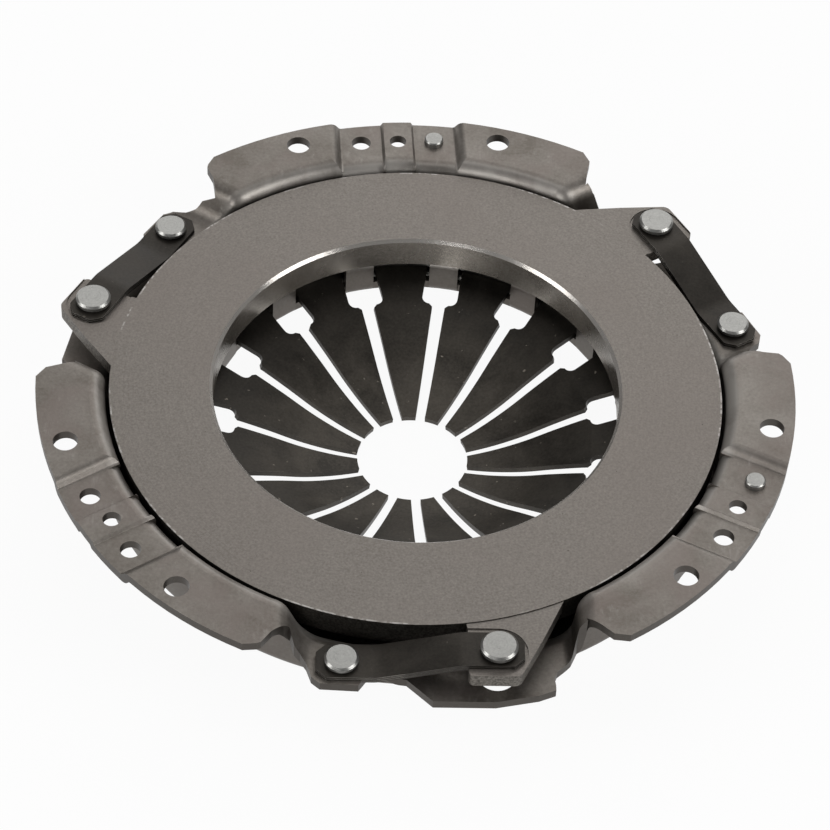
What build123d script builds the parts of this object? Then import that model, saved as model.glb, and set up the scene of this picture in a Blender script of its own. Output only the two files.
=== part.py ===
from build123d import *
import os
from math import atan2, cos, hypot, pi, radians, remainder, sin, tan

# Clutch pressure plate for a 200 mm driven disc, millimetres, +Z towards the flywheel.
# The origin is on the shaft axis, in the plane where the cover bolts to the flywheel.

# Friction ring
ring_inner_r = 67.8
ring_width = 34.2
face_drop = 3.65
ring_thickness = 9.0
collar_height = 11.3
collar_width = 2.2
ring_chamfer = 1.0
bead_inset = 9.5
bead_width = 4.0
bead_gap_width = 7.0

# Three-fold layout: strap stations and flange segments
station_count = 3
strap_angle = 33.0
segment_angle = 95.6
rivet_offset = 24.35
strap_gap = 10.0

# Drive lugs of the ring, measured from their rivet
lug_margin = 9.4
lug_free_end = 9.45
lug_fixed_end = 14.15
lug_drop = 0.35
lug_thickness = 5.0
seat_depth = 0.5
seat_r = 9.2

# Straps: packs of spring leaves
leaf_count = 3
leaf_thickness = 0.76
leaf_gap = 0.04
leaf_width = 13.2
leaf_shift = 0.2
leaf_end = 8.0
leaf_corner = 3.2
leaf_bend_r = 14.0
leaf_free = 1.8

# Rivets
lug_rivet_head_r = 5.9
lug_rivet_head = 1.9
lug_rivet_r = 4.0
ear_rivet_head_r = 5.4
ear_rivet_head = 1.7
ear_rivet_r = 3.6
rivet_tail = 1.8
rivet_edge = 0.7
rivet_fit = 0.05
balance_rivet_r = 3.3
balance_rivet_proud = 2.0
balance_tail_r = 4.6

# Pressed cover
sheet = 3.2
wall_gap = 1.3
wall_bend_r = 2.0
bend_r = 3.0
crease_r = 0.25
flange_width = 22.7
shelf_drop = 15.95
ear_drop = 11.45
access_hole_r = 6.0

# Depressed middle of each flange segment
dip_half = 20.5
dip_drop = 2.85
dip_ramp = 2.2
dip_bend_r = 1.2
step_half = 5.0
step_drop = 1.58
step_ramp = 0.8

# Levels of the cover at a strap station, measured along the strap from its rivets
shelf_reach = 23.65
shelf_slope = 2.3
shelf_end = 30.85
ear_start = 10.35
ear_reach = 11.95
ear_slope = 6.2
slope_top_bend = 3.3
ear_foot_bend = 8.0

# Cut edge of the cover at a strap station, as (along, outwards) from the lug rivet and the ear rivet
shelf_outline = (
    (-65.65, -1.5), (-35.85, -4.8), (-31.85, -8.4), (-27.55, -11.7), (-27.95, -10.7), (-25.45, -9.8),
    (-23.45, -5.8), (-19.05, -1.7), (-18.05, 0.7), (-18.45, 3.4), (-18.45, 5.4), (-13.15, 7.6),
    (0.45, 10.4), (20.05, 10.4), (28.25, 2.2),
)
ear_outline = (
    (-10.85, 1.0), (-9.65, 1.5), (-5.35, 8.0), (6.65, 7.4), (9.35, 5.0), (10.85, 0.6), (12.85, -2.2),
    (14.85, -3.7), (16.25, -8.1), (18.05, -7.1), (21.85, -3.8), (24.95, 0.4), (26.35, 1.0), (65.65, 4.0),
)

# Straight trim of one station's shelf, from the lug rivet
trimmed_station = 1
shelf_trim = ((8.65, 10.4), (-35.65, -4.4))

# Flange holes: distance out from the wall, angle from the segment's middle, radius
bolt_out = 15.3
bolt_hole_r = 4.1
bolt_left = 17.5
bolt_right = -17.4
balance_out = 14.2
balance_hole_r = 3.4
balance_left = 6.4
balance_right = -6.3
dowel_out = 12.8
dowel_hole_r = 2.95

# Diaphragm spring: the fingers' line is given as (share of the finger, height over its root)
finger_count = 15
first_slot = 12.0
tip_r = 18.8
root_depth = 23.2
finger_curve = ((0.0, -14.0), (0.2206, -12.2), (0.4604, -9.1), (0.7242, -4.4), (1.0, 0.0))
disc_slope = 0.27
diaphragm_thickness = 2.1
spring_overhang = 1.5
slot_tip_width = 3.2
slot_root_width = 4.5
window_width = 12.4
window_length = 17.5
window_corner = 2.8

# Tabs and pivot rings that hold the diaphragm
tab_clearance = 1.0
tab_width = 10.0
tab_sheet = 2.5
tab_bend_r = 1.6
tab_root = 5.0
hook_reach = 1.6
rim_inset = 1.6
ring_wire_r = 1.4
wire_room = 0.4
pivot_gap = 0.05
window_clearance = 1.1

# Clearances
seat_gap = 0.05
bead_clearance = 0.3

ring_outer_r = ring_inner_r + ring_width
bead_r = ring_outer_r - bead_inset
strap_line_r = ring_outer_r + strap_gap
wall_r = ring_outer_r + wall_gap
flange_outer_r = wall_r + flange_width
far_r = flange_outer_r + 30
tab_inner_r = ring_inner_r + collar_width + tab_clearance
rim_r = tab_inner_r + rim_inset
pivot_r = tab_inner_r + tab_sheet + ring_wire_r + wire_room
window_outer_r = pivot_r + hook_reach + window_clearance
root_r = window_outer_r - window_length
diaphragm_outer_r = bead_r + spring_overhang

face_z = -face_drop
lug_top = face_z - lug_drop
seat_z = lug_top - seat_depth
split_z = -shelf_drop - sheet - 3
pack_thickness = leaf_count * leaf_thickness + (leaf_count - 1) * leaf_gap


def disc_z(r):
    """Height of the diaphragm's flywheel side on its conical disc."""
    return face_z - root_depth + (r - root_r) * disc_slope


disc_turn = atan2(disc_slope, 1)
wire_lift = ring_wire_r / cos(disc_turn) + pivot_gap
upper_wire_z = disc_z(pivot_r) + wire_lift
lower_wire_z = disc_z(pivot_r) - diaphragm_thickness / cos(disc_turn) - wire_lift
dome_z = lower_wire_z - ring_wire_r - pivot_gap
hook_top = upper_wire_z + ring_wire_r + pivot_gap + tab_sheet


def station(k):
    """Local frame with +Y out through the middle of strap k and +X clockwise."""
    return Rot(0, 0, strap_angle - 90 + k * 360 / station_count)


def segment(k):
    """Local frame with +Y out through the middle of flange segment k and +X clockwise."""
    return Rot(0, 0, segment_angle - 90 + k * 360 / station_count)


def finger_gap(k):
    """Local frame with +Y out through the slot and window beside finger k."""
    return Rot(0, 0, first_slot - 90 + k * 360 / finger_count)


def at(r, angle):
    """Place on a circle about the axis, by angle from the local +Y, anticlockwise."""
    return Pos(-r * sin(radians(angle)), r * cos(radians(angle)), 0)


def turned(points, k):
    """Signed turn of a polyline at its point k, in radians."""
    before = atan2(points[k][1] - points[k - 1][1], points[k][0] - points[k - 1][0])
    after = atan2(points[k + 1][1] - points[k][1], points[k + 1][0] - points[k][0])
    return remainder(after - before, 2 * pi)


def offset_right(points, distance):
    """The polyline moved to its right-hand side by a distance."""
    moved = []
    for k, (x, y) in enumerate(points):
        first = max(k - 1, 0) if k == len(points) - 1 else k
        heading = atan2(points[first + 1][1] - points[first][1], points[first + 1][0] - points[first][0])
        shift = distance
        side = heading - radians(90)
        if 0 < k < len(points) - 1:
            turn = turned(points, k)
            side = heading - turn / 2 - radians(90)
            shift = distance / cos(turn / 2)
        moved.append((x + shift * cos(side), y + shift * sin(side)))
    return moved


def soft_line(points, radii):
    """Polyline with rounded corners, each as large as asked or as its shorter run allows."""
    fitted = []
    for k in range(1, len(points) - 1):
        before = hypot(points[k][0] - points[k - 1][0], points[k][1] - points[k - 1][1])
        after = hypot(points[k + 1][0] - points[k][0], points[k + 1][1] - points[k][1])
        room = 0.45 * min(before, after) / tan(abs(turned(points, k)) / 2)
        fitted.append(min(radii[k - 1], room))
    return FilletPolyline(*points, radius=fitted)


def bend_radii(points, thickness, inner_bends, on_left):
    """Corner radii of one face of a bent sheet: the outside of a bend is a sheet larger."""
    radii = []
    for k, inner in enumerate(inner_bends, 1):
        outside = (turned(points, k) < 0) == on_left
        radii.append(inner + thickness if outside and inner > crease_r else inner)
    return radii


def bent_sheet(points, thickness, inner_bends):
    """Section of a sheet whose left-hand face follows the points, with rounded bends."""
    other = offset_right(points, thickness)
    outline = Curve() + soft_line(points, bend_radii(points, thickness, inner_bends, True))
    outline += soft_line(other, bend_radii(points, thickness, inner_bends, False))
    outline += Line(points[0], other[0])
    outline += Line(points[-1], other[-1])
    return make_face(outline)


def lathe(face, arc=360, start=0):
    """Body of revolution from a section drawn as (radius, height)."""
    return Rot(0, 0, start) * revolve(Plane.XZ * face, axis=Axis.Z, revolution_arc=arc)


def across(face, y0, y1):
    """A section drawn as (x, height), carried along Y from y0 to y1."""
    return Pos(0, y1, 0) * extrude(Plane.XZ * face, amount=y1 - y0)


def column(points, z0, z1):
    """Upright prism on a plan outline."""
    return Pos(0, 0, z0) * extrude(make_face(Polyline(*points, close=True)), amount=z1 - z0)


def slab(x0, x1, y0, y1, z0, z1):
    """Box by its limits."""
    size = Box(x1 - x0, y1 - y0, z1 - z0)
    return Pos((x0 + x1) / 2, (y0 + y1) / 2, (z0 + z1) / 2) * size


def station_line():
    """Top line of the cover's sheet across one strap station, and the inner radii of its bends."""
    flat = 14
    shelf_left = -rivet_offset - shelf_reach
    ear_right = rivet_offset + ear_reach
    points = [
        (shelf_left - shelf_slope - flat, 0), (shelf_left - shelf_slope, 0), (shelf_left, -shelf_drop),
        (-rivet_offset + shelf_end, -shelf_drop), (rivet_offset - ear_start, -ear_drop),
        (ear_right, -ear_drop), (ear_right + ear_slope, 0), (ear_right + ear_slope + flat, 0),
    ]
    return points, [slope_top_bend, bend_r, bend_r, bend_r, ear_foot_bend, slope_top_bend]


def dip_line():
    """Top line of the depressed middle of a segment, with a step between two low zones, and its bends."""
    side = step_half + step_ramp
    outer = dip_half + dip_ramp
    points = [
        (-outer - 6, 0), (-outer, 0), (-dip_half, -dip_drop), (-side, -dip_drop), (-step_half, -step_drop),
        (step_half, -step_drop), (side, -dip_drop), (dip_half, -dip_drop), (outer, 0), (outer + 6, 0),
    ]
    return points, [dip_bend_r, dip_bend_r] + [crease_r] * 4 + [dip_bend_r, dip_bend_r]


def above(line, bends, inset):
    """Everything over a pressed line, or over the line moved down into its sheet by an inset."""
    top = 20
    moved = offset_right(line, inset)
    outline = Curve() + soft_line(moved, bend_radii(line, sheet, bends, inset == 0))
    outline += Polyline(moved[0], (moved[0][0], top), (moved[-1][0], top), moved[-1])
    return across(make_face(outline), ring_inner_r, far_r)


def under_surface(inset):
    """Block outside the wall and under the cover's top surface, set back from both by an inset."""
    r = wall_r + inset
    low = split_z - inset
    block = lathe(make_face(Polyline((r, low), (far_r, low), (far_r, -inset), (r, -inset), close=True)))
    for k in range(station_count):
        block -= station(k) * above(*station_line(), inset)
    rim = block.edges().filter_by(lambda e: abs(hypot((e @ 0.5).X, (e @ 0.5).Y) - r) < 0.001)
    rim = rim.filter_by(lambda e: (e @ 0.5).Z > low + 0.001 and abs((e % 0.5).Z) < 0.999)
    block = fillet(rim, wall_bend_r + sheet - inset)
    for k in range(station_count):
        block -= segment(k) * above(*dip_line(), inset)
    return block


def dip_corner(drop, x0, x1):
    """What rounds the corner between the wall and one level of a depressed segment."""
    rounding = wall_bend_r + sheet
    corner = Rectangle(rounding, rounding, align=(Align.MAX, Align.MIN))
    centre = Pos(wall_r + rounding, -drop - rounding)
    ring = lathe(centre * (corner - Circle(rounding)), 60, 60)
    return ring & slab(x0, x1, ring_inner_r, far_r, split_z, 10)


def station_mouth():
    """Everything outside the cut edge of a strap station, seen in plan."""
    points = [(u - rivet_offset, strap_line_r + v) for u, v in shelf_outline]
    points += [(u + rivet_offset, strap_line_r + v) for u, v in ear_outline]
    points += [(points[-1][0], far_r + 10), (points[0][0], far_r + 10)]
    return column(points, split_z - 10, 10)


def straight_trim():
    """What a straight cut takes off the shelf of one station."""
    points = [(u - rivet_offset, strap_line_r + v) for u, v in shelf_trim]
    points += [(points[1][0], far_r + 10), (points[0][0], far_r + 10)]
    return column(points, split_z - 10, 10)


def flange_holes():
    """Holes of a flange segment: two for bolts, two for balance rivets and one for a dowel."""
    holes = Part()
    for out, angle, hole_r in (
        (bolt_out, bolt_left, bolt_hole_r),
        (bolt_out, bolt_right, bolt_hole_r),
        (balance_out, balance_left, balance_hole_r),
        (balance_out, balance_right, balance_hole_r),
        (dowel_out, 0, dowel_hole_r),
    ):
        holes += at(wall_r + out, angle) * Cylinder(hole_r, 30)
    return holes


def tab():
    """Tab that rises through a diaphragm window and hooks over the pivot rings."""
    dome_under = dome_z - sheet
    points = [
        (rim_r + tab_root, dome_under), (tab_inner_r, dome_under), (tab_inner_r, hook_top),
        (pivot_r + hook_reach, hook_top),
    ]
    face = bent_sheet(points, tab_sheet, [tab_bend_r, tab_bend_r])
    return extrude(Plane.YZ * face, amount=tab_width / 2, both=True)


def cover():
    """Pressed cover: dome, wall, bolting flange, strap shelves and ears, and hooked tabs."""
    body = (under_surface(0) - under_surface(sheet)) & Cylinder(flange_outer_r, 200)
    side = step_half + step_ramp
    access = Pos(-rivet_offset, strap_line_r, 0) * Cylinder(access_hole_r, 80)
    ear_hole = Pos(rivet_offset, strap_line_r, 0) * Cylinder(ear_rivet_r + rivet_fit, 80)
    body -= station(trimmed_station) * straight_trim()
    for k in range(station_count):
        body -= station(k) * station_mouth()
        body -= station(k) * access
        body -= station(k) * ear_hole
        body -= segment(k) * dip_corner(dip_drop, -dip_half, -side)
        body -= segment(k) * dip_corner(step_drop, -step_half, step_half)
        body -= segment(k) * dip_corner(dip_drop, side, dip_half)
        body -= segment(k) * flange_holes()
    body += lathe(bent_sheet([(rim_r, dome_z), (wall_r, dome_z), (wall_r, split_z)], sheet, [bend_r]))
    for k in range(finger_count):
        body += finger_gap(k) * tab()
    return body


def ring_section():
    """Radial section of the friction ring with its collar and its fulcrum bead."""
    back = face_z - ring_thickness
    half = bead_width / 2
    bead_low = disc_z(bead_r + half / 2) + bead_clearance
    points = [
        (ring_inner_r + ring_chamfer, face_z), (ring_outer_r, face_z), (ring_outer_r, back),
        (bead_r + half + 2, back), (bead_r + half, bead_low + 1.2), (bead_r + half / 2, bead_low),
        (bead_r - half / 2, bead_low), (bead_r - half, bead_low + 1.2), (bead_r - half - 2, back),
        (ring_inner_r + collar_width, back), (ring_inner_r + collar_width, face_z - collar_height),
        (ring_inner_r, face_z - collar_height), (ring_inner_r, face_z - ring_chamfer),
    ]
    return make_face(Polyline(*points, close=True))


def lug():
    """Drive lug that carries the moving end of a strap, drawn about its rivet."""
    root = ring_outer_r - 12 - strap_line_r
    points = [
        (-lug_fixed_end - 7.5, root), (-lug_fixed_end, -5.5), (-lug_fixed_end + 7.5, lug_margin),
        (lug_free_end, lug_margin), (lug_free_end, 1 - strap_gap), (lug_free_end + 3, root),
    ]
    outline = FilletPolyline(*points, close=True, radius=[0.1, 6.0, 3.0, 2.0, 1.5, 0.1])
    body = Pos(0, 0, lug_top - lug_thickness) * extrude(make_face(outline), amount=lug_thickness)
    return Pos(-rivet_offset, strap_line_r, 0) * body


def strap_seat():
    """Shallow milled seat for the strap on a lug."""
    tool = Cylinder(seat_r, 5, align=(Align.CENTER, Align.CENTER, Align.MIN))
    run = slab(0, rivet_offset, -seat_r, seat_r, 0, 5)
    return Pos(-rivet_offset, strap_line_r, seat_z) * (tool + run)


def pressure_plate():
    """Cast plate: friction ring, fulcrum bead and three drive lugs."""
    body = lathe(ring_section())
    back = face_z - ring_thickness
    gap = slab(-bead_gap_width / 2, bead_gap_width / 2, bead_r - 8, bead_r + 6, back - 30, back)
    for k in range(finger_count):
        body -= finger_gap(k) * gap
    for k in range(station_count):
        body += station(k) * lug()
        body -= station(k) * (strap_seat() - Cylinder(ring_outer_r, 80))
        body -= station(k) * Pos(-rivet_offset, strap_line_r, 0) * Cylinder(lug_rivet_r + rivet_fit, 80)
    return body


def finger_line(drop):
    """Line of the diaphragm's section, at a depth below its flywheel side."""
    root_z = disc_z(root_r) - drop
    points = [(tip_r + share * (root_r - tip_r), root_z + rise) for share, rise in finger_curve]
    rim = (diaphragm_outer_r, disc_z(diaphragm_outer_r) - drop)
    return [Spline(*points), Line(points[-1], rim)], points[0], rim


def diaphragm_spring():
    """Slotted conical spring with fingers that bend down to the release bearing."""
    top, top_tip, top_rim = finger_line(0)
    low, low_tip, low_rim = finger_line(diaphragm_thickness / cos(disc_turn))
    section = make_face(Curve() + top + low + Line(top_tip, low_tip) + Line(top_rim, low_rim))
    body = lathe(section)
    slot = column(
        [
            (-slot_tip_width / 2, tip_r - 3), (slot_tip_width / 2, tip_r - 3),
            (slot_root_width / 2, root_r + 4), (-slot_root_width / 2, root_r + 4),
        ],
        -100, 0,
    )
    half = window_width / 2
    window_points = [(-half, root_r), (half, root_r), (half, window_outer_r), (-half, window_outer_r)]
    window_line = FilletPolyline(*window_points, close=True, radius=window_corner)
    window = Pos(0, 0, -100) * extrude(make_face(window_line), amount=100)
    for k in range(finger_count):
        body -= finger_gap(k) * (slot + window)
    return body


def pivot_ring(height):
    """Wire ring that the diaphragm tilts on."""
    return Pos(0, 0, height) * Torus(pivot_r, ring_wire_r)


def leaf(level):
    """One spring leaf of a strap, bent between the lug and the lower ear."""
    end = rivet_offset + leaf_end
    lift = seat_gap + level * (leaf_thickness + leaf_gap)
    high = seat_z + lift + leaf_thickness
    low = -ear_drop + lift + leaf_thickness
    bend = rivet_offset - lug_free_end - leaf_free
    v0 = strap_line_r - leaf_shift - leaf_width / 2
    v1 = v0 + leaf_width
    points = [(-end, high), (-bend, high), (bend, low), (end, low)]
    bar = across(bent_sheet(points, leaf_thickness, [leaf_bend_r, leaf_bend_r]), v0, v1)
    outline = [
        (-end + leaf_corner, v0), (end - leaf_corner, v0), (end, v0 + leaf_corner), (end, v1 - leaf_corner),
        (end - leaf_corner, v1), (-end + leaf_corner, v1), (-end, v1 - leaf_corner), (-end, v0 + leaf_corner),
    ]
    body = bar & column(outline, -100, 10)
    body -= Pos(-rivet_offset, strap_line_r, 0) * Cylinder(lug_rivet_r + rivet_fit, 60)
    body -= Pos(rivet_offset, strap_line_r, 0) * Cylinder(ear_rivet_r + rivet_fit, 60)
    return body


def rivet(shank_r, head_r, head, top_z, bottom_z, tail_r):
    """Rivet through a stack from top_z to bottom_z, with a turned head and a set tail."""
    tail_low = bottom_z - rivet_tail
    points = [
        (0, top_z + head), (head_r - rivet_edge, top_z + head), (head_r, top_z + head - rivet_edge),
        (head_r, top_z), (shank_r, top_z), (shank_r, bottom_z), (tail_r, bottom_z),
        (tail_r, bottom_z - rivet_tail / 2), (tail_r - rivet_tail / 2, tail_low), (0, tail_low),
    ]
    return lathe(make_face(Polyline(*points, close=True)))


def lug_rivet():
    """Rivet that fixes a strap to a lug."""
    top = seat_z + seat_gap + pack_thickness + seat_gap
    bottom = lug_top - lug_thickness - seat_gap
    body = rivet(lug_rivet_r, lug_rivet_head_r, lug_rivet_head, top, bottom, lug_rivet_head_r - 0.9)
    return Pos(-rivet_offset, strap_line_r, 0) * body


def ear_rivet():
    """Rivet that fixes a strap to an ear of the cover."""
    top = -ear_drop + seat_gap + pack_thickness + seat_gap
    bottom = -ear_drop - sheet - seat_gap
    body = rivet(ear_rivet_r, ear_rivet_head_r, ear_rivet_head, top, bottom, ear_rivet_head_r - 0.6)
    return Pos(rivet_offset, strap_line_r, 0) * body


def balance_rivet():
    """Rivet that fills one hole of the flange's low zone to balance the cover."""
    top = -dip_drop + balance_rivet_proud
    bottom = -dip_drop - sheet - seat_gap
    low = bottom - rivet_tail
    points = [
        (0, top), (balance_rivet_r - 0.4, top), (balance_rivet_r, top - 0.4), (balance_rivet_r, bottom),
        (balance_tail_r, bottom), (balance_tail_r, low + 0.6), (balance_tail_r - 0.6, low), (0, low),
    ]
    return lathe(make_face(Polyline(*points, close=True)))


def save(body, name):
    """Writes one sub-part."""
    export_step(body, "parts/" + name + ".step")


os.makedirs("parts", exist_ok=True)
save(cover(), "cover")
save(pressure_plate(), "pressure_plate")
save(diaphragm_spring(), "diaphragm_spring")
save(pivot_ring(upper_wire_z), "upper_pivot_ring")
save(pivot_ring(lower_wire_z), "lower_pivot_ring")
for number in range(station_count):
    for level in range(leaf_count):
        save(station(number) * leaf(level), "strap_" + str(number + 1) + "_leaf_" + str(level + 1))
    save(station(number) * lug_rivet(), "lug_rivet_" + str(number + 1))
    save(station(number) * ear_rivet(), "ear_rivet_" + str(number + 1))
save(segment(0) * at(wall_r + balance_out, balance_right) * balance_rivet(), "balance_rivet_1")
save(segment(2) * at(wall_r + balance_out, balance_left) * balance_rivet(), "balance_rivet_2")
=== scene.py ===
from math import atan2, cos, pi, radians, sin, sqrt

import bpy
from mathutils import Matrix, Vector


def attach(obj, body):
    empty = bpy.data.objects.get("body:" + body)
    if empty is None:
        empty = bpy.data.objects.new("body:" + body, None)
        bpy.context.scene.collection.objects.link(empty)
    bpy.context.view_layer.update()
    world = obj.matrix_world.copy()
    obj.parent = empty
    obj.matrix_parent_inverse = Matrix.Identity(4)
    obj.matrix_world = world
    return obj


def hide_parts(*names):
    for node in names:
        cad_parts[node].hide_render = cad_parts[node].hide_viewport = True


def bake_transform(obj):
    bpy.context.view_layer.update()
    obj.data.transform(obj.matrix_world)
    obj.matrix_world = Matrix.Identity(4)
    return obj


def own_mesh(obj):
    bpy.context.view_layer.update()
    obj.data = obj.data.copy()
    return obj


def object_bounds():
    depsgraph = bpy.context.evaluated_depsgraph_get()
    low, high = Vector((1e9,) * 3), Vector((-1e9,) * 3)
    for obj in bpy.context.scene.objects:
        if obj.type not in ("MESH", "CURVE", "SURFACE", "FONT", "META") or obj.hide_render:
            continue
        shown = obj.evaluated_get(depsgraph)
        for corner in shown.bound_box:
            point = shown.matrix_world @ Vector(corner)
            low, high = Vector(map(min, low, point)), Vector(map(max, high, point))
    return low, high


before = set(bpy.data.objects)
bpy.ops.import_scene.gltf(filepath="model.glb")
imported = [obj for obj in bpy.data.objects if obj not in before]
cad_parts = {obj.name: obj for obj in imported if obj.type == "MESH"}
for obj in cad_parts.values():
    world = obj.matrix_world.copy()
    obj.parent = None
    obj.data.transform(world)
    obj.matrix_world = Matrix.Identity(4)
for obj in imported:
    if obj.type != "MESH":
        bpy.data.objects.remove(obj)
cad_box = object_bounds()
MM = 0.001

# Sizes that the dressed pieces share with the solids, in millimetres and degrees
FACE_Z = -3.65
STATIONS = 3
STRAP_ANGLE = 33.0
RIVET_OFFSET = 24.35
STRAP_LINE_R = 112.0
LEAF_COUNT = 3
LEAF_THICKNESS = 0.76
LEAF_PITCH = 0.80
LEAF_WIDTH = 13.2
LEAF_SHIFT = 0.2
LEAF_END = 8.0
LEAF_CORNER = 3.2
LEAF_BEND_R = 14.0
LEAF_FLAT = 11.25
SEAT_Z = -4.5
EAR_Z = -11.45
SEAT_GAP = 0.05
FINGERS = 15
FIRST_SLOT = 12.0
TIP_R = 18.8
ROOT_R = 60.5
SPRING_OUTER_R = 94.0
SPRING_THICKNESS = 2.1
DISC_SLOPE = 0.27
SLOT_TIP_WIDTH = 3.2
SLOT_ROOT_WIDTH = 4.5
WINDOW_WIDTH = 12.4
WINDOW_OUTER_R = 78.0
WINDOW_CORNER = 2.8

# A finger's curve from tip to root: radii, and heights from the friction face
FINGER_CURVE = ((TIP_R, -37.2), (28.0, -35.4), (38.0, -32.3), (49.0, -27.6), (ROOT_R, -23.2))

# How far out the disc's rows are shifted
DISC_SHIFT = 0.02

# Roundings of the edges, in millimetres, and the angle from which an edge is rounded
COVER_EDGE = 0.3
RING_EDGE = 0.25
SPRING_EDGE = 0.2
RIVET_EDGE = 0.2
LEAF_EDGE = 0.12
EDGE_ANGLE = 32
EDGE_SEGMENTS = 2

# Numbers of faces along and across the sheets
LEAF_STEPS = 96
LEAF_COLUMNS = 8
FINGER_COLUMNS = 12
FINGER_ROWS = 40
CORNER_ROWS = 6
WINDOW_ROWS = 8
DISC_ROWS = 10

# Ranges of radius and height, in millimetres, over which one finish, painted shade or painted highlight
# gives way to the next
BORE_END = (69.5, 70.5)
RING_SIDE = (97.5, 98.5)
RING_RIM = (101.3, 101.6)
LUG_START = (102.4, 103.0)
NEAR_FACE = (FACE_Z - 0.15, FACE_Z - 0.05)
WALL_BEND = (106.0, 108.5)
FLANGE_START = (106.5, 108.0)
FINGER_SHADE = (40.0, 60.0)

# Camera, solved from the circles of the friction ring
FOCAL_PX = 3154.758
FRAME_PX = 830
SENSOR_MM = 36.0
CAMERA_DISTANCE = 1041.424 * MM
CAMERA_ELEVATION = radians(47.78)
CAMERA_ROLL = radians(3.18)
LOOK_AT = Vector((0.134 * MM, -13.9 * MM, FACE_Z * MM))

# Floor, in millimetres, and how light it and the surroundings are
FLOOR_HALF = 6000.0
FLOOR_GAP = 0.2
FLOOR_GREY = 0.9
FLOOR_GLOW = 0.94
WORLD_LIGHT = 0.20


def place(obj):
    """Adds an object to the scene."""
    bpy.context.scene.collection.objects.link(obj)
    return obj


def mesh_object(name, points, faces):
    """Mesh piece from points in millimetres, smooth shaded."""
    mesh = bpy.data.meshes.new(name)
    mesh.from_pydata([Vector(p) * MM for p in points], [], faces)
    mesh.validate()
    for polygon in mesh.polygons:
        polygon.use_smooth = True
    return place(bpy.data.objects.new(name, mesh))


def sheet_faces(lines):
    """Faces between neighbouring lines, each a list of point numbers."""
    faces = []
    for first, second in zip(lines, lines[1:]):
        for j in range(len(first) - 1):
            faces.append((first[j], second[j], second[j + 1], first[j + 1]))
    return faces


def thicken(obj, thickness, side):
    """Gives a sheet its thickness, above its points (1) or below them (-1)."""
    solid = obj.modifiers.new("thickness", "SOLIDIFY")
    solid.thickness = thickness * MM
    solid.offset = side


def soften(obj, width):
    """Small rounding of the hard edges."""
    bevel = obj.modifiers.new("edges", "BEVEL")
    bevel.width = width * MM
    bevel.segments = EDGE_SEGMENTS
    bevel.limit_method = "ANGLE"
    bevel.angle_limit = radians(EDGE_ANGLE)
    bevel.harden_normals = True


# Parts of the materials

def new_material(name):
    """Empty node material and its tree."""
    material = bpy.data.materials.new(name)
    material.use_nodes = True
    tree = material.node_tree
    tree.nodes.clear()
    return material, tree


def node(tree, kind, **values):
    """Adds a node and sets its inputs and properties."""
    made = tree.nodes.new(kind)
    for key, value in values.items():
        if key in made.inputs:
            made.inputs[key].default_value = value
        else:
            setattr(made, key, value)
    return made


def noise(tree, coords, scale, detail, rough, distortion=0.0):
    """Noise of a given number of features per metre."""
    made = node(tree, "ShaderNodeTexNoise", Scale=scale, Detail=detail, Roughness=rough)
    made.inputs["Distortion"].default_value = distortion
    tree.links.new(coords, made.inputs["Vector"])
    return made.outputs["Fac"]


def ring_marks(tree, radius, scale, detail):
    """Noise that changes with the radius alone, as a turning tool leaves it."""
    made = node(tree, "ShaderNodeTexNoise", noise_dimensions="1D", Scale=scale, Detail=detail)
    tree.links.new(radius, made.inputs["W"])
    return made.outputs["Fac"]


def remap(tree, value, low, high, start=0.0, stop=1.0):
    """Share that changes from start to stop while a value goes from low to high."""
    limits = {"From Min": low, "From Max": high, "To Min": start, "To Max": stop}
    made = node(tree, "ShaderNodeMapRange", **limits)
    tree.links.new(value, made.inputs["Value"])
    return made.outputs["Result"]


def zone(tree, distance, limits, start=0.0, stop=1.0):
    """Share that changes between two limits in millimetres."""
    return remap(tree, distance, limits[0] * MM, limits[1] * MM, start, stop)


def combine(tree, operation, a, b):
    """Math of two values, each a socket or a number."""
    made = node(tree, "ShaderNodeMath", operation=operation)
    for index, value in enumerate((a, b)):
        if isinstance(value, (int, float)):
            made.inputs[index].default_value = value
        else:
            tree.links.new(value, made.inputs[index])
    return made.outputs[0]


def product(tree, *values):
    """Product of values, each a socket or a number."""
    total = values[0]
    for value in values[1:]:
        total = combine(tree, "MULTIPLY", total, value)
    return total


def weighted(tree, *pairs):
    """Sum of values, each with its weight."""
    shares = [combine(tree, "MULTIPLY", value, weight) for value, weight in pairs]
    total = shares[0]
    for share in shares[1:]:
        total = combine(tree, "ADD", total, share)
    return total


def band(tree, value, rise, fall):
    """Share that rises over one range of a value and falls over a later one."""
    return product(tree, remap(tree, value, *rise), remap(tree, value, *fall, 1.0, 0.0))


def blend_colours(tree, factor, a, b):
    """Mix of two colours, each a socket or a triple. The node takes them in its inputs 6 and 7."""
    made = node(tree, "ShaderNodeMix", data_type="RGBA")
    tree.links.new(factor, made.inputs["Factor"])
    for socket, value in ((made.inputs[6], a), (made.inputs[7], b)):
        if isinstance(value, tuple):
            socket.default_value = (*value, 1.0)
        else:
            tree.links.new(value, socket)
    return made.outputs[2]


def two_tone(tree, value, low, high, dark, light):
    """Colour that goes from dark to light while a value goes from low to high."""
    return blend_colours(tree, remap(tree, value, low, high), dark, light)


def layered(tree, colour, *coats):
    """Colour under a number of coats, each a share and its own colour."""
    for share, coat in coats:
        colour = blend_colours(tree, share, colour, coat)
    return colour


def place_coords(tree):
    """Coordinates fixed to the piece, in metres of the shared frame."""
    return node(tree, "ShaderNodeTexCoord").outputs["Object"]


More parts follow.
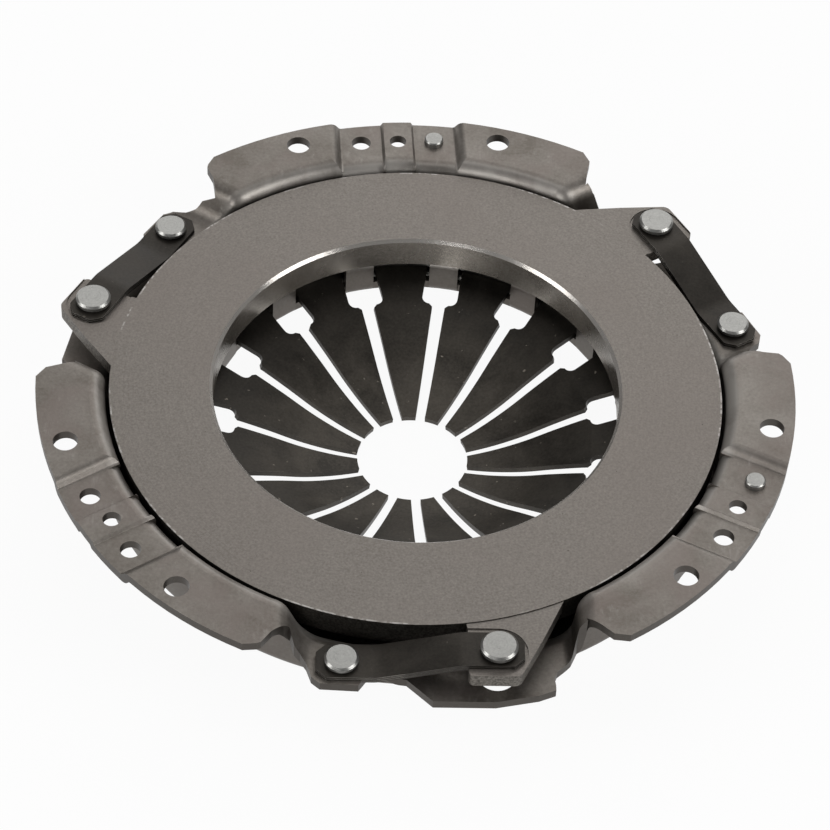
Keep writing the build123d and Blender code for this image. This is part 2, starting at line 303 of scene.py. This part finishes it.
def radius_of(tree, coords):
    """Distance from the axis of the coordinates."""
    flat = node(tree, "ShaderNodeVectorMath", operation="MULTIPLY")
    flat.inputs[1].default_value = (1, 1, 0)
    tree.links.new(coords, flat.inputs[0])
    made = node(tree, "ShaderNodeVectorMath", operation="LENGTH")
    tree.links.new(flat.outputs[0], made.inputs[0])
    return made.outputs["Value"]


def z_of(tree, vector):
    """Third component of a vector."""
    made = node(tree, "ShaderNodeSeparateXYZ")
    tree.links.new(vector, made.inputs[0])
    return made.outputs["Z"]


def upward(tree):
    """Share by which a surface faces along the shaft axis."""
    return z_of(tree, node(tree, "ShaderNodeNewGeometry").outputs["Normal"])


def finish_metal(tree, material, colour, rough, height, metallic, bump_depth, turned=None):
    """Principled metal from the colour, roughness and height sockets, and a share of turned marks."""
    shader = node(tree, "ShaderNodeBsdfPrincipled", Metallic=metallic)
    tree.links.new(colour, shader.inputs["Base Color"])
    tree.links.new(rough, shader.inputs["Roughness"])
    if turned is not None:
        tree.links.new(turned, shader.inputs["Anisotropic"])
        shader.inputs["Anisotropic Rotation"].default_value = 0.25
        tangent = node(tree, "ShaderNodeTangent", direction_type="RADIAL", axis="Z")
        tree.links.new(tangent.outputs[0], shader.inputs["Tangent"])
    bump = node(tree, "ShaderNodeBump", Distance=bump_depth * MM, Strength=1.0)
    tree.links.new(height, bump.inputs["Height"])
    tree.links.new(bump.outputs["Normal"], shader.inputs["Normal"])
    out = node(tree, "ShaderNodeOutputMaterial")
    tree.links.new(shader.outputs[0], out.inputs["Surface"])
    return material


# Materials of the part

def ground_colour(tree, coords, tone, pits):
    """Ground face of the ring: grey with brown tints and a few dark pits."""
    tint = product(tree, remap(tree, noise(tree, coords, 17, 2, 0.5), 0.42, 0.62), 0.28)
    return layered(
        tree,
        two_tone(tree, tone, 0.38, 0.62, (0.170, 0.154, 0.138), (0.262, 0.239, 0.216)),
        (tint, (0.214, 0.184, 0.166)),
        (remap(tree, pits, 0.73, 0.79), (0.095, 0.086, 0.076)),
    )


def side_colour(tree, grain, beyond):
    """Sides of the ring: dark and unmachined, darkened further with painted shade, and lighter where the
    lugs are sawn.
    """
    # Near black: the unmachined colour darkened further with painted shade.
    cast_and_gap_shade = two_tone(tree, grain, 0.36, 0.64, (0.020, 0.018, 0.015), (0.060, 0.055, 0.048))
    sawn = two_tone(tree, grain, 0.34, 0.66, (0.060, 0.054, 0.047), (0.215, 0.198, 0.176))
    return blend_colours(tree, beyond, cast_and_gap_shade, sawn)


def bore_colour(tree, tone, bore, up):
    """Turned bore of the ring, brightest on its chamfer, which is partly freshly machined and partly a
    painted highlight.
    """
    turned = two_tone(tree, tone, 0.38, 0.62, (0.250, 0.226, 0.196), (0.40, 0.366, 0.324))
    # Painted highlight on the chamfer, partly also its freshly machined finish.
    chamfer = product(tree, bore, remap(tree, up, 0.25, 0.55))
    return blend_colours(tree, chamfer, turned, (0.56, 0.53, 0.495))


def ring_iron():
    """Cast iron: a ground face with faint turning rings, a bright turned bore with a painted highlight
    on its chamfer, dark unmachined sides with painted shade, and a painted highlight along the rim.
    """
    material, tree = new_material("ring_iron")
    coords = place_coords(tree)
    grain = noise(tree, coords, 1300, 3, 0.65)
    patches = noise(tree, coords, 34, 4, 0.6)
    pits = noise(tree, coords, 520, 2, 0.5)
    radius = radius_of(tree, coords)
    rings = ring_marks(tree, radius, 2400, 2)
    tone = weighted(tree, (grain, 0.55), (patches, 0.35), (rings, 0.10))
    up = upward(tree)
    on_face = remap(tree, up, 0.93, 0.98)
    outside = zone(tree, radius, RING_SIDE)
    beyond = zone(tree, radius, LUG_START)
    # Sides that do not face up: painted shade on the ring's sides, the sawn colour on the lugs.
    side = product(tree, remap(tree, up, 0.55, 0.75, 1.0, 0.0), outside)
    bore = product(tree, zone(tree, radius, BORE_END, 1.0, 0.0), combine(tree, "SUBTRACT", 1.0, on_face))
    # Painted highlight: near white flecks on the rim's rounded edges.
    painted_glint = product(
        tree,
        band(tree, up, (0.30, 0.45), (0.86, 0.95)),
        combine(tree, "SUBTRACT", outside, beyond),
        remap(tree, pits, 0.46, 0.58),
    )
    # Lighter flecked line on the face at its rim: partly a rough raised edge, partly a painted
    # highlight.
    burr_and_highlight = product(
        tree,
        zone(tree, radius, RING_RIM),
        on_face,
        zone(tree, z_of(tree, coords), NEAR_FACE),
        combine(tree, "SUBTRACT", 1.0, beyond),
        remap(tree, patches, 0.50, 0.58),
        remap(tree, pits, 0.44, 0.56),
    )
    colour = layered(
        tree,
        ground_colour(tree, coords, tone, pits),
        (side, side_colour(tree, grain, beyond)),
        (bore, bore_colour(tree, tone, bore, up)),
        (painted_glint, (0.85, 0.83, 0.80)),
        (burr_and_highlight, (0.50, 0.48, 0.455)),
    )
    rough = remap(tree, patches, 0.35, 0.65, 0.42, 0.52)
    rough = combine(tree, "SUBTRACT", rough, product(tree, bore, 0.20))
    height = weighted(tree, (grain, 0.6), (product(tree, rings, on_face), 0.6))
    return finish_metal(tree, material, colour, rough, height, 0.85, 0.03, product(tree, bore, 0.9))


def cover_steel():
    """Pressed sheet steel: brownish grey, mottled and stained, with fine scratches, bends that are
    partly rubbed and partly a painted highlight, and painted shade on walls and cut edges.
    """
    material, tree = new_material("cover_steel")
    coords = place_coords(tree)
    stretch = node(tree, "ShaderNodeMapping", Scale=(1.0, 0.12, 1.0), Rotation=(0, 0, radians(24)))
    tree.links.new(coords, stretch.inputs["Vector"])
    mottle = noise(tree, coords, 52, 6, 0.62, 0.5)
    clouds = noise(tree, coords, 16, 3, 0.5)
    grain = noise(tree, coords, 900, 3, 0.6)
    stains = noise(tree, coords, 42, 4, 0.6, 0.4)
    rubbed = noise(tree, coords, 130, 5, 0.7)
    scratches = noise(tree, stretch.outputs[0], 700, 2, 0.7)
    tone = weighted(tree, (mottle, 0.5), (grain, 0.2), (clouds, 0.3))
    radius = radius_of(tree, coords)
    up = upward(tree)
    # Lighter sloped faces, strongest on the bend into the wall: partly rubbed, partly a painted
    # highlight.
    bend = product(
        tree,
        band(tree, up, (0.12, 0.40), (0.93, 0.99)),
        remap(tree, mottle, 0.35, 0.6, 0.35, 0.90),
        zone(tree, radius, WALL_BEND, 1.0, 0.12),
    )
    # Painted shade: sideways faces out on the flange, its cut edges, darkened towards near black.
    cut = product(tree, remap(tree, up, 0.05, 0.35, 1.0, 0.0), 0.6, zone(tree, radius, FLANGE_START))
    wear = product(tree, remap(tree, rubbed, 0.55, 0.75), remap(tree, scratches, 0.45, 0.7))
    colour = layered(
        tree,
        two_tone(tree, tone, 0.39, 0.61, (0.136, 0.120, 0.103), (0.276, 0.253, 0.228)),
        (product(tree, remap(tree, stains, 0.46, 0.62), 0.5), (0.205, 0.172, 0.156)),
        (wear, (0.33, 0.31, 0.285)),
        (bend, (0.38, 0.358, 0.332)),
        # Painted shade: faces that look sideways or down, such as the walls, half darkened towards near
        # black.
        (product(tree, remap(tree, up, 0.0, 0.20, 1.0, 0.0), 0.50), (0.050, 0.044, 0.038)),
        (cut, (0.040, 0.035, 0.030)),
    )
    rough = remap(tree, mottle, 0.3, 0.7, 0.36, 0.50)
    height = weighted(tree, (grain, 0.5), (scratches, 0.3), (rubbed, 1.2))
    return finish_metal(tree, material, colour, rough, height, 0.8, 0.05)


def dark_steel(name, dark, light, low_rough, high_rough, outer_shade=0.0):
    """Blackened spring steel: satin patches, fine specks, lighter edges that are partly polished and
    partly a painted highlight, and painted shade on its outer part.
    """
    material, tree = new_material(name)
    coords = place_coords(tree)
    patches = noise(tree, coords, 55, 5, 0.6, 0.6)
    grain = noise(tree, coords, 1100, 3, 0.6)
    specks = noise(tree, coords, 420, 2, 0.5)
    speck_colour = tuple(2.6 * c for c in light)
    tone = weighted(tree, (patches, 0.7), (grain, 0.3))
    # Painted shade: darker towards the fingers' roots and the disc.
    shade = product(tree, zone(tree, radius_of(tree, coords), FINGER_SHADE), outer_shade)
    # Lighter edges: partly polished, partly a painted highlight.
    edge = product(
        tree,
        band(tree, upward(tree), (0.20, 0.40), (0.80, 0.88)),
        remap(tree, patches, 0.42, 0.58, 0.15, 0.8),
    )
    colour = layered(
        tree,
        two_tone(tree, tone, 0.34, 0.68, dark, light),
        (shade, (0.006, 0.005, 0.004)),
        (remap(tree, specks, 0.72, 0.78), speck_colour),
        (edge, (0.34, 0.32, 0.29)),
    )
    rough = remap(tree, patches, 0.3, 0.7, low_rough, high_rough)
    return finish_metal(tree, material, colour, rough, grain, 0.75, 0.02)


def bright_steel(name, dark, light, low_rough, high_rough):
    """Bright turned steel of the rivets and wire, with tool rings about each piece's middle."""
    material, tree = new_material(name)
    coords = place_coords(tree)
    cloud = noise(tree, coords, 260, 5, 0.65)
    grain = noise(tree, coords, 1500, 2, 0.6)
    middle = node(tree, "ShaderNodeVectorMath", operation="SUBTRACT")
    middle.inputs[1].default_value = (0.5, 0.5, 0.0)
    tree.links.new(node(tree, "ShaderNodeTexCoord").outputs["Generated"], middle.inputs[0])
    rings = ring_marks(tree, radius_of(tree, middle.outputs[0]), 26, 3)
    tone = weighted(tree, (cloud, 0.4), (grain, 0.3), (rings, 0.3))
    colour = two_tone(tree, tone, 0.36, 0.64, dark, light)
    rough = remap(tree, cloud, 0.3, 0.7, low_rough, high_rough)
    height = weighted(tree, (cloud, 0.5), (grain, 0.5), (rings, 0.5))
    return finish_metal(tree, material, colour, rough, height, 0.9, 0.04)


def dress(name, material):
    """Gives a solid of the frame its finish."""
    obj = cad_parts[name]
    obj.data.materials.clear()
    obj.data.materials.append(material)
    return obj


# Straps

def station_point(k, u, v, z):
    """Point of strap station k: u clockwise along the strap, v out from the axis."""
    angle = radians(STRAP_ANGLE + 360 / STATIONS * k)
    x = v * cos(angle) + u * sin(angle)
    y = v * sin(angle) - u * cos(angle)
    return (x, y, z)


def leaf_height(u):
    """Height of a leaf's lower side: two flats, two arcs and the slope between them."""
    bend = RIVET_OFFSET - LEAF_FLAT
    slope = (SEAT_Z - EAR_Z) / (2 * bend)
    reach = LEAF_BEND_R * (sqrt(1 + slope * slope) - 1) / slope
    height = SEAT_Z - slope * (u + bend)
    for corner, level, side in ((-bend, SEAT_Z, 1), (bend, EAR_Z, -1)):
        along = (u - corner) * side
        if along < -reach:
            height = level
        elif abs(along) < reach:
            height = level - side * slope * (along + reach) ** 2 / (4 * reach)
    return height


def leaf_limits(u):
    """Inner and outer edge of a leaf at a place along it, with its corners cut."""
    cut = max(0.0, abs(u) - (RIVET_OFFSET + LEAF_END - LEAF_CORNER))
    half = LEAF_WIDTH / 2 - cut
    middle = STRAP_LINE_R - LEAF_SHIFT
    return middle - half, middle + half


def leaf_sheet(k, level):
    """Points and faces of the lower side of a leaf."""
    end = RIVET_OFFSET + LEAF_END
    lift = SEAT_GAP + level * LEAF_PITCH
    points = []
    lines = []
    for i in range(LEAF_STEPS + 1):
        u = -end + 2 * end * i / LEAF_STEPS
        inner, outer = leaf_limits(u)
        lines.append(range(len(points), len(points) + LEAF_COLUMNS + 1))
        for j in range(LEAF_COLUMNS + 1):
            v = inner + (outer - inner) * j / LEAF_COLUMNS
            points.append(station_point(k, u, v, leaf_height(u) + lift))
    return points, sheet_faces(lines[::-1])


def build_leaf(k, level, material):
    """One spring leaf of strap k, as a sheet with its thickness."""
    name = "strap_" + str(k + 1) + "_leaf_" + str(level + 1)
    piece = mesh_object(name + "_sheet", *leaf_sheet(k, level))
    thicken(piece, LEAF_THICKNESS, 1)
    soften(piece, LEAF_EDGE)
    piece.data.materials.append(material)
    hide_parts(name)
    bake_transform(piece)


# Diaphragm spring

def finger_slopes():
    """Slope of the finger's curve at each of its points."""
    runs = [(b[1] - a[1]) / (b[0] - a[0]) for a, b in zip(FINGER_CURVE, FINGER_CURVE[1:])]
    middle = [(p + q) / 2 for p, q in zip(runs, runs[1:])]
    return [1.5 * runs[0] - 0.5 * middle[0]] + middle + [0.5 * (runs[-1] + DISC_SLOPE)]


def spring_height(r):
    """Height of the spring's flywheel side at a radius: a straight cone outside the fingers' curve."""
    root_r, root_z = FINGER_CURVE[-1]
    if r >= root_r:
        return FACE_Z + root_z + (r - root_r) * DISC_SLOPE
    k = next(i for i, (end_r, _) in enumerate(FINGER_CURVE[1:]) if r <= end_r)
    (r0, z0), (r1, z1) = FINGER_CURVE[k:k + 2]
    start_slope, end_slope = finger_slopes()[k:k + 2]
    share = (r - r0) / (r1 - r0)
    squared = share ** 2
    cubed = share ** 3
    ends = (2 * cubed - 3 * squared + 1) * z0 + (3 * squared - 2 * cubed) * z1
    slopes = (cubed - 2 * squared + share) * start_slope + (cubed - squared) * end_slope
    return FACE_Z + ends + (r1 - r0) * slopes


def gap_half(r):
    """Half width of the slot or window beside a finger, at a radius."""
    if r > WINDOW_OUTER_R:
        return 0.0
    if r < ROOT_R:
        share = (r - TIP_R) / (ROOT_R - TIP_R)
        return (SLOT_TIP_WIDTH + (SLOT_ROOT_WIDTH - SLOT_TIP_WIDTH) * share) / 2
    half = WINDOW_WIDTH / 2
    inside = min(r - ROOT_R, WINDOW_OUTER_R - r)
    if inside < WINDOW_CORNER:
        half -= WINDOW_CORNER - sqrt(WINDOW_CORNER ** 2 - (WINDOW_CORNER - inside) ** 2)
    return half


def spring_rows():
    """Radii of the fingers' rows, closer together round the corners of the windows."""
    finger = [TIP_R + (ROOT_R - TIP_R) * i / FINGER_ROWS for i in range(FINGER_ROWS)]
    steps = range(CORNER_ROWS + 1)
    corner = [ROOT_R + WINDOW_CORNER * (1 - cos(pi / 2 * i / CORNER_ROWS)) for i in steps]
    straight = WINDOW_OUTER_R - ROOT_R - 2 * WINDOW_CORNER
    window = [ROOT_R + WINDOW_CORNER + straight * i / WINDOW_ROWS for i in range(1, WINDOW_ROWS)]
    return finger + corner + window + [WINDOW_OUTER_R - (r - ROOT_R) for r in reversed(corner)]


def spring_sheet():
    """Points and faces of the slotted cone: fifteen fingers that join into one disc."""
    pitch = 2 * pi / FINGERS
    disc_width = SPRING_OUTER_R - WINDOW_OUTER_R
    disc_start = WINDOW_OUTER_R + DISC_SHIFT
    disc_rows = [disc_start + disc_width * i / DISC_ROWS for i in range(1, DISC_ROWS + 1)]
    columns = range(FINGER_COLUMNS + 1)
    points = []
    numbers = {}
    faces = []

    def point_number(key, r, angle):
        """Number of the point with this key, which neighbouring fingers share in the disc."""
        if key not in numbers:
            numbers[key] = len(points)
            points.append((r * cos(angle), r * sin(angle), spring_height(r)))
        return numbers[key]

    for f in range(FINGERS):
        middle = radians(FIRST_SLOT) + pitch * (f + 0.5)
        lines = []
        for i, r in enumerate(spring_rows()):
            gap = gap_half(r)
            half = pitch / 2 - atan2(gap, sqrt(r * r - gap * gap))
            angles = [middle + half * (2 * j / FINGER_COLUMNS - 1) for j in columns]
            lines.append([point_number((f, i, j), r, angles[j]) for j in columns])
        for i, r in enumerate(disc_rows):
            steps = [(f * FINGER_COLUMNS + j) % (FINGERS * FINGER_COLUMNS) for j in columns]
            angles = [radians(FIRST_SLOT) + pitch * step / FINGER_COLUMNS for step in steps]
            lines.append([point_number(("disc", i, steps[j]), r, angles[j]) for j in columns])
        faces += sheet_faces(lines)
    return points, faces


def build_diaphragm(material):
    """The diaphragm as a sheet with its own thickness, attached to the cover."""
    piece = mesh_object("diaphragm_sheet", *spring_sheet())
    thicken(piece, SPRING_THICKNESS, -1)
    soften(piece, SPRING_EDGE)
    piece.data.materials.append(material)
    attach(piece, "cover")
    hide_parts("diaphragm_spring")
    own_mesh(piece)


# Surroundings, lights and camera

def floor_white():
    """Pale surface that cameras and mirrors see nearly white, and that still takes a shadow."""
    material, tree = new_material("floor_white")
    diffuse = node(tree, "ShaderNodeBsdfDiffuse", Color=(FLOOR_GREY, FLOOR_GREY, FLOOR_GREY, 1))
    glowing = node(tree, "ShaderNodeEmission", Color=(1, 1, 1, 1))
    path = node(tree, "ShaderNodeLightPath")
    seen = combine(tree, "MAXIMUM", path.outputs["Is Camera Ray"], path.outputs["Is Glossy Ray"])
    seen = combine(tree, "MAXIMUM", seen, path.outputs["Is Transmission Ray"])
    mix = node(tree, "ShaderNodeMixShader")
    tree.links.new(product(tree, seen, FLOOR_GLOW), mix.inputs["Fac"])
    tree.links.new(diffuse.outputs[0], mix.inputs[1])
    tree.links.new(glowing.outputs[0], mix.inputs[2])
    out = node(tree, "ShaderNodeOutputMaterial")
    tree.links.new(mix.outputs[0], out.inputs["Surface"])
    return material


def build_floor():
    """Large pale floor just under the lowest point."""
    half = FLOOR_HALF * MM
    level = cad_box[0][2] - FLOOR_GAP * MM
    corners = [(-half, -half, level), (half, -half, level), (half, half, level), (-half, half, level)]
    mesh = bpy.data.meshes.new("floor")
    mesh.from_pydata(corners, [], [(0, 1, 2, 3)])
    mesh.materials.append(floor_white())
    floor = place(bpy.data.objects.new("floor", mesh))


def build_world():
    """Even pale surroundings, white to the camera and dimmer to everything else."""
    world = bpy.data.worlds.new("surroundings")
    bpy.context.scene.world = world
    world.use_nodes = True
    tree = world.node_tree
    tree.nodes.clear()
    path = node(tree, "ShaderNodeLightPath")
    seen = combine(tree, "MAXIMUM", path.outputs["Is Camera Ray"], path.outputs["Is Transmission Ray"])
    background = node(tree, "ShaderNodeBackground", Color=(1, 1, 1, 1))
    tree.links.new(remap(tree, seen, 0, 1, WORLD_LIGHT, 1.0), background.inputs["Strength"])
    out = node(tree, "ShaderNodeOutputWorld")
    tree.links.new(background.outputs[0], out.inputs["Surface"])


def softbox(name, direction, distance, size, watts):
    """Square soft light that points at the part, with its distance and size in metres."""
    light = bpy.data.lights.new(name, "AREA")
    light.shape = "SQUARE"
    light.size = size
    light.energy = watts
    obj = place(bpy.data.objects.new(name, light))
    obj.location = Vector(direction).normalized() * distance
    obj.rotation_euler = (-obj.location).to_track_quat("-Z", "Y").to_euler()


def build_camera():
    """Camera at the photograph's place, from the solved distance, elevation and roll."""
    back = Vector((0, -cos(CAMERA_ELEVATION), sin(CAMERA_ELEVATION)))
    right = Vector((1, 0, 0))
    up = back.cross(right)
    side = right * cos(CAMERA_ROLL) + up * sin(CAMERA_ROLL)
    top = up * cos(CAMERA_ROLL) - right * sin(CAMERA_ROLL)
    data = bpy.data.cameras.new("camera")
    data.sensor_width = SENSOR_MM
    data.lens = FOCAL_PX / FRAME_PX * SENSOR_MM
    camera = place(bpy.data.objects.new("camera", data))
    turn = Matrix((side, top, back)).transposed().to_4x4()
    camera.matrix_world = Matrix.Translation(LOOK_AT + back * CAMERA_DISTANCE) @ turn
    bpy.context.scene.camera = camera


build_camera()
build_world()
build_floor()
softbox("right_box", (0.80, -0.32, 0.50), 1.6, 0.8, 10)
softbox("left_box", (-0.86, -0.30, 0.50), 1.6, 0.7, 7)
softbox("front_box", (-0.32, -0.90, 0.28), 1.7, 0.5, 6)
softbox("back_box", (0.14, 0.78, 0.53), 1.8, 1.7, 11.5)
softbox("top_box", (-0.10, 0.15, 0.98), 2.4, 1.2, 5)

# The last number is the strength of the painted shade on the spring's outer part.
spring = dark_steel("spring_steel", (0.029, 0.0255, 0.021), (0.096, 0.085, 0.071), 0.34, 0.48, 0.55)
strap = dark_steel("strap_steel", (0.025, 0.022, 0.0185), (0.058, 0.051, 0.043), 0.38, 0.52)
rivet = bright_steel("rivet_steel", (0.255, 0.253, 0.241), (0.40, 0.396, 0.378), 0.26, 0.38)
wire = bright_steel("wire_steel", (0.10, 0.10, 0.09), (0.18, 0.17, 0.16), 0.25, 0.35)

soften(dress("cover", cover_steel()), COVER_EDGE)
soften(dress("pressure_plate", ring_iron()), RING_EDGE)
dress("upper_pivot_ring", wire)
dress("lower_pivot_ring", wire)
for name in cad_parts:
    if "rivet" in name:
        soften(dress(name, rivet), RIVET_EDGE)
build_diaphragm(spring)
for k in range(STATIONS):
    for level in range(LEAF_COUNT):
        build_leaf(k, level, strap)

bpy.context.scene.view_settings.view_transform = "Standard"
